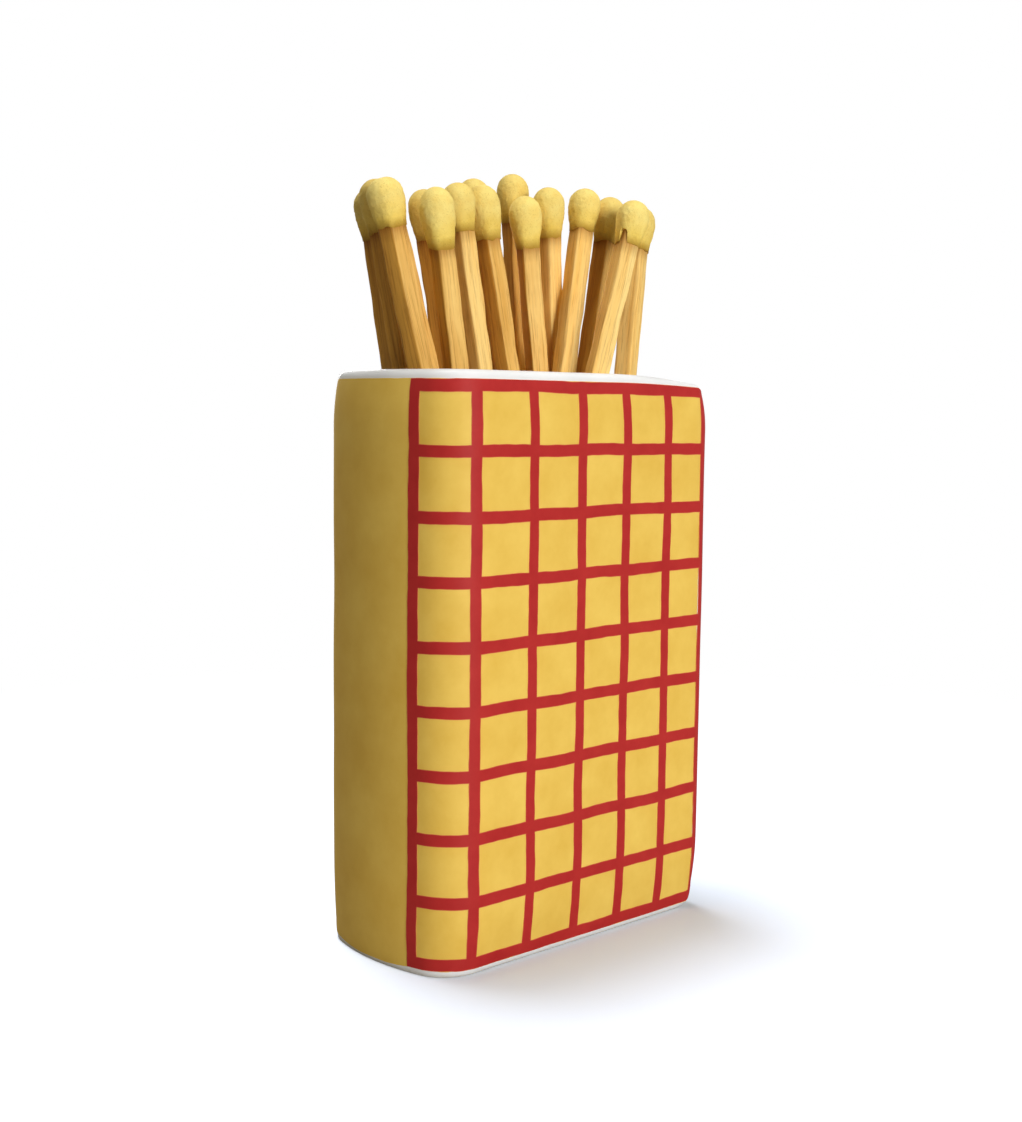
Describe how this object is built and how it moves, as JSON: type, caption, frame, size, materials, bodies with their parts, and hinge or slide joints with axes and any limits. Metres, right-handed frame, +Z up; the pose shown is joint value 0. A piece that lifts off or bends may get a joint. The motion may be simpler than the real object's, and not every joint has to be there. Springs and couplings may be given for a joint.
{
  "type": "match striker",
  "caption": "Book-shaped porcelain match pot with a red window-pane check on yellow, a ribbed striking base and long wooden matches standing in it.",
  "frame": {"origin": "middle of the pot's foot on the table, below the middle of its box", "axes": "+Z up, front cover faces -Y, spine faces -X, fore-edge faces +X"},
  "size_m": [0.053, 0.029, 0.1095],
  "materials": {
    "porcelain": "white glossy glaze, bare and matt at the foot",
    "yellow_glaze": "glossy yellow glaze",
    "red_print": "glossy red print fired on the glaze",
    "match_wood": "raw split aspen",
    "match_head": "matt dipped composition, finely grained"
  },
  "bodies": {
    "root": {"vessel": "porcelain", "yellow_glaze": "yellow_glaze", "front_check": "red_print", "back_check": "red_print", "match_1_stick": "match_wood", "match_1_head": "match_head", "match_2_stick": "match_wood", "match_2_head": "match_head", "match_3_stick": "match_wood", "match_3_head": "match_head", "match_4_stick": "match_wood", "match_4_head": "match_head", "match_5_stick": "match_wood", "match_5_head": "match_head", "match_6_stick": "match_wood", "match_6_head": "match_head", "match_7_stick": "match_wood", "match_7_head": "match_head", "match_8_stick": "match_wood", "match_8_head": "match_head", "match_9_stick": "match_wood", "match_9_head": "match_head", "match_10_stick": "match_wood", "match_10_head": "match_head", "match_11_stick": "match_wood", "match_11_head": "match_head", "match_12_stick": "match_wood", "match_12_head": "match_head", "match_13_stick": "match_wood", "match_13_head": "match_head", "match_14_stick": "match_wood", "match_14_head": "match_head", "match_15_stick": "match_wood", "match_15_head": "match_head", "match_16_stick": "match_wood", "match_16_head": "match_head"}
  },
  "joints": []
}
